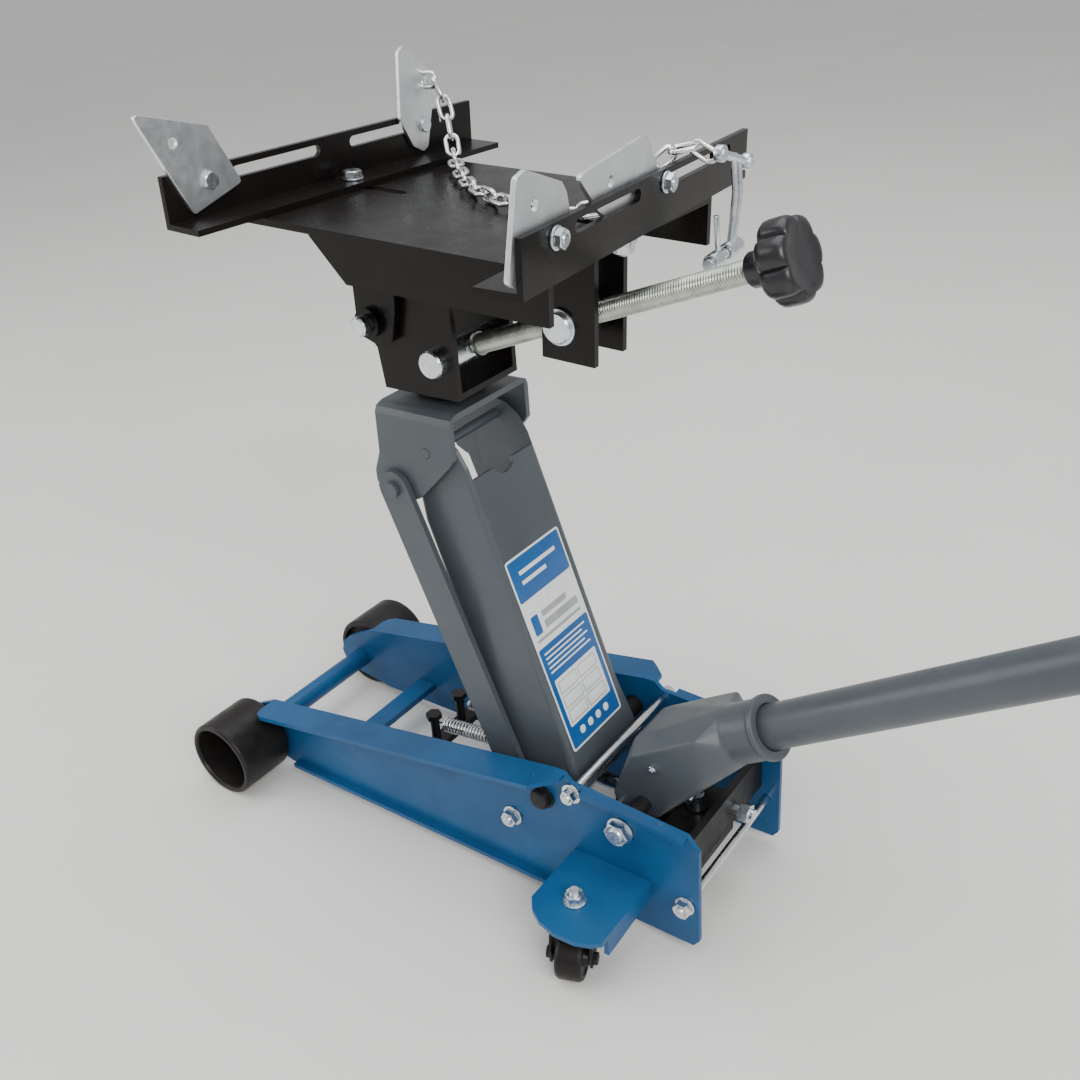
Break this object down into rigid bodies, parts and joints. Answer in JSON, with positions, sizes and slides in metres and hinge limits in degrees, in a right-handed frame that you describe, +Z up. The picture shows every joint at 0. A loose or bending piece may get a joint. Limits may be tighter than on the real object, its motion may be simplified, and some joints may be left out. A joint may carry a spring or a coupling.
{
  "type": "transmission jack",
  "caption": "Low trolley jack with a raised parallelogram lift arm, a long pump handle and a tilting table with slotted angle brackets, corner plates and a holding chain.",
  "frame": {"origin": "on the floor, under the middle of the bounding box", "axes": "+X along the chassis towards the pump handle, +Z up"},
  "size_m": [1.3734, 0.3946, 0.7764],
  "materials": {
    "frame_blue": "satin",
    "zinc_plated": "satin",
    "dark_metal": "satin",
    "lever_grey": "satin",
    "adapter_black": "gloss",
    "wheel_plastic": "satin",
    "grip_rubber": "matte"
  },
  "bodies": {
    "chassis": {"side_plate_near": "frame_blue", "side_plate_far": "frame_blue", "front_spacer_tube": "frame_blue", "front_axle": "zinc_plated", "cross_bar": "frame_blue", "upper_tie_rod": "zinc_plated", "lower_tie_rod": "zinc_plated", "arm_pivot_shaft": "dark_metal", "yoke_pivot_shaft": "zinc_plated", "spring_anchor_bar": "dark_metal", "return_spring_near": "zinc_plated", "return_spring_far": "zinc_plated", "handle_spring_near": "zinc_plated", "handle_spring_far": "zinc_plated", "link_bolt_near": "zinc_plated", "link_bolt_far": "zinc_plated", "hydraulic_unit": "dark_metal", "rear_mount_plate": "dark_metal", "caster_bracket_near": "frame_blue", "caster_bracket_far": "frame_blue", "caster_stem_near": "zinc_plated", "caster_stem_far": "zinc_plated"},
    "front_wheel_near_body": {"front_wheel_near": "wheel_plastic"},
    "front_wheel_far_body": {"front_wheel_far": "wheel_plastic"},
    "caster_near_body": {"caster_fork_near": "dark_metal"},
    "caster_far_body": {"caster_fork_far": "dark_metal"},
    "caster_wheel_near_body": {"caster_wheel_near": "wheel_plastic"},
    "caster_wheel_far_body": {"caster_wheel_far": "wheel_plastic"},
    "lift_arm": {"arm_channel": "lever_grey", "arm_crank_hub": "dark_metal"},
    "ram": {"ram_piston": "zinc_plated"},
    "head": {"head_bracket": "lever_grey", "head_pin": "zinc_plated"},
    "link_near": {"link_bar_near": "lever_grey"},
    "link_far": {"link_bar_far": "lever_grey"},
    "handle_yoke_body": {"handle_yoke": "lever_grey"},
    "handle": {"handle_tube": "lever_grey", "handle_grip": "grip_rubber"},
    "pump_plunger_body": {"pump_plunger": "zinc_plated"},
    "release_valve_body": {"release_valve": "zinc_plated"},
    "adapter": {"adapter_yoke": "adapter_black", "adapter_stud": "dark_metal", "tilt_pin": "zinc_plated"},
    "screw_trunnion_body": {"screw_trunnion": "zinc_plated"},
    "screw_body": {"tilt_screw": "zinc_plated", "knob": "wheel_plastic"},
    "table": {"table_plate": "adapter_black", "table_ear_near": "adapter_black", "table_ear_far": "adapter_black", "chain": "zinc_plated"},
    "screw_nut_body": {"screw_nut": "zinc_plated"},
    "front_bolt_body": {"front_bracket_bolt": "zinc_plated"},
    "front_bracket_body": {"front_bracket": "adapter_black"},
    "rear_bolt_body": {"rear_bracket_bolt": "zinc_plated"},
    "rear_bracket_body": {"rear_bracket": "adapter_black", "chain_tensioner": "zinc_plated"},
    "corner_plate_front_near_body": {"corner_plate_front_near": "zinc_plated"},
    "corner_plate_front_far_body": {"corner_plate_front_far": "zinc_plated"},
    "corner_plate_rear_near_body": {"corner_plate_rear_near": "zinc_plated"},
    "corner_plate_rear_far_body": {"corner_plate_rear_far": "zinc_plated"}
  },
  "joints": [
    {"name": "front_wheel_near_spin", "type": "hinge", "parent": "chassis", "child": "front_wheel_near_body", "pos_m": [-0.64172, -0.11597, 0.045], "axis": [0, 1, 0], "continuous": true},
    {"name": "front_wheel_far_spin", "type": "hinge", "parent": "chassis", "child": "front_wheel_far_body", "pos_m": [-0.64172, 0.13403, 0.045], "axis": [0, 1, 0], "continuous": true},
    {"name": "caster_near_swivel", "type": "hinge", "parent": "chassis", "child": "caster_near_body", "pos_m": [-0.15872, -0.13697, 0.062], "axis": [0, 0, 1], "continuous": true},
    {"name": "caster_wheel_near_spin", "type": "hinge", "parent": "caster_near_body", "child": "caster_wheel_near_body", "pos_m": [-0.15188, -0.15576, 0.023], "axis": [0.9397, 0.342, 0], "continuous": true},
    {"name": "caster_far_swivel", "type": "hinge", "parent": "chassis", "child": "caster_far_body", "pos_m": [-0.15872, 0.15503, 0.062], "axis": [0, 0, 1], "continuous": true},
    {"name": "caster_wheel_far_spin", "type": "hinge", "parent": "caster_far_body", "child": "caster_wheel_far_body", "pos_m": [-0.1414, 0.16503, 0.023], "axis": [-0.5, 0.866, 0], "continuous": true},
    {"name": "arm_lift", "type": "hinge", "parent": "chassis", "child": "lift_arm", "pos_m": [-0.23072, 0.00903, 0.122], "axis": [0, 1, 0], "range_deg": [-64, 8], "deforming": ["return_spring_near", "return_spring_far"]},
    {"name": "head_level", "type": "hinge", "parent": "lift_arm", "child": "head", "pos_m": [-0.35472, 0.00903, 0.45], "axis": [0, 1, 0], "range_deg": [-8, 64]},
    {"name": "link_near_swing", "type": "hinge", "parent": "chassis", "child": "link_near", "pos_m": [-0.27072, -0.05497, 0.08], "axis": [0, 1, 0], "range_deg": [-64, 8]},
    {"name": "link_far_swing", "type": "hinge", "parent": "chassis", "child": "link_far", "pos_m": [-0.27072, 0.07303, 0.08], "axis": [0, 1, 0], "range_deg": [-64, 8]},
    {"name": "ram_slide", "type": "slide", "parent": "chassis", "child": "ram", "axis": [-1, 0, 0], "range_m": [-0.044, 0.0056]},
    {"name": "handle_pump", "type": "hinge", "parent": "chassis", "child": "handle_yoke_body", "pos_m": [-0.14272, 0.00903, 0.12], "axis": [0, 1, 0], "range_deg": [-30, 20], "deforming": ["handle_spring_near", "handle_spring_far"]},
    {"name": "pump_plunger_slide", "type": "slide", "parent": "chassis", "child": "pump_plunger_body", "axis": [0, 0, 1], "range_m": [-0.0113, 0.0169]},
    {"name": "handle_twist", "type": "hinge", "parent": "handle_yoke_body", "child": "handle", "pos_m": [-0.03072, 0.00903, 0.225], "axis": [0.848, 0, 0.5299], "range_deg": [0, 90]},
    {"name": "release_valve_turn", "type": "hinge", "parent": "chassis", "child": "release_valve_body", "pos_m": [-0.08172, 0.03303, 0.088], "axis": [1, 0, 0], "range_deg": [0, 90]},
    {"name": "adapter_swivel", "type": "hinge", "parent": "head", "child": "adapter", "pos_m": [-0.36672, 0.00903, 0.495], "axis": [0, 0, 1], "continuous": true},
    {"name": "screw_spin", "type": "hinge", "parent": "screw_trunnion_body", "child": "screw_body", "pos_m": [-0.34272, 0.00903, 0.534], "axis": [0.9421, 0, 0.3354], "range_deg": [-1026, 1026]},
    {"name": "table_tilt", "type": "hinge", "parent": "adapter", "child": "table", "pos_m": [-0.40772, 0.00903, 0.565], "axis": [0, 1, 0], "range_deg": [-8.1, 8.1]},
    {"name": "screw_swing", "type": "hinge", "parent": "adapter", "child": "screw_trunnion_body", "pos_m": [-0.34272, 0.00903, 0.534], "axis": [0, 1, 0], "range_deg": [-11.27, 11.27]},
    {"name": "screw_nut_rock", "type": "hinge", "parent": "table", "child": "screw_nut_body", "pos_m": [-0.22072, 0.00903, 0.5774], "axis": [0, 1, 0], "range_deg": [-3.17, 3.17]},
    {"name": "front_bolt_slide", "type": "slide", "parent": "table", "child": "front_bolt_body", "axis": [0.9988, 0, -0.0499], "range_m": [0, 0.05], "deforming": ["chain"]},
    {"name": "front_bracket_swivel", "type": "hinge", "parent": "front_bolt_body", "child": "front_bracket_body", "pos_m": [-0.45641, 0.00903, 0.67256], "axis": [0.0499, 0, 0.9988], "range_deg": [-8, 12], "deforming": ["chain"]},
    {"name": "rear_bolt_slide", "type": "slide", "parent": "table", "child": "rear_bolt_body", "axis": [0.9988, 0, -0.0499], "range_m": [-0.018, 0], "deforming": ["chain"]},
    {"name": "rear_bracket_swivel", "type": "hinge", "parent": "rear_bolt_body", "child": "rear_bracket_body", "pos_m": [-0.17177, 0.00903, 0.65834], "axis": [0.0499, 0, 0.9988], "range_deg": [-6, 4], "deforming": ["chain"]},
    {"name": "corner_plate_front_near_turn", "type": "hinge", "parent": "front_bracket_body", "child": "corner_plate_front_near_body", "pos_m": [-0.48367, -0.13493, 0.70426], "axis": [0.9979, -0.0401, -0.0499], "range_deg": [-37, 7]},
    {"name": "corner_plate_front_far_turn", "type": "hinge", "parent": "front_bracket_body", "child": "corner_plate_front_far_body", "pos_m": [-0.47332, 0.12286, 0.70375], "axis": [0.9979, -0.0401, -0.0499], "range_deg": [-8, 68], "deforming": ["chain"]},
    {"name": "corner_plate_rear_near_turn", "type": "hinge", "parent": "rear_bracket_body", "child": "corner_plate_rear_near_body", "pos_m": [-0.13624, -0.13394, 0.68691], "axis": [0.9963, 0.0698, -0.0498], "range_deg": [-4, 3]},
    {"name": "corner_plate_rear_far_turn", "type": "hinge", "parent": "rear_bracket_body", "child": "corner_plate_rear_far_body", "pos_m": [-0.14795, 0.03365, 0.68749], "axis": [0.9963, 0.0698, -0.0498], "range_deg": [-124, 1], "deforming": ["chain"]}
  ],
  "couplings": [
    {"joint": "head_level", "follows": "arm_lift", "ratio": -1},
    {"joint": "link_near_swing", "follows": "arm_lift", "ratio": 1},
    {"joint": "link_far_swing", "follows": "arm_lift", "ratio": 1},
    {"joint": "ram_slide", "follows": "arm_lift", "m_per_rad": 0.0393},
    {"joint": "pump_plunger_slide", "follows": "handle_pump", "m_per_rad": -0.032},
    {"joint": "release_valve_turn", "follows": "handle_twist", "ratio": 1},
    {"joint": "table_tilt", "follows": "screw_spin", "ratio": 0.0078125},
    {"joint": "screw_swing", "follows": "screw_spin", "ratio": 0.010875},
    {"joint": "screw_nut_rock", "follows": "screw_spin", "ratio": 0.0030625}
  ]
}
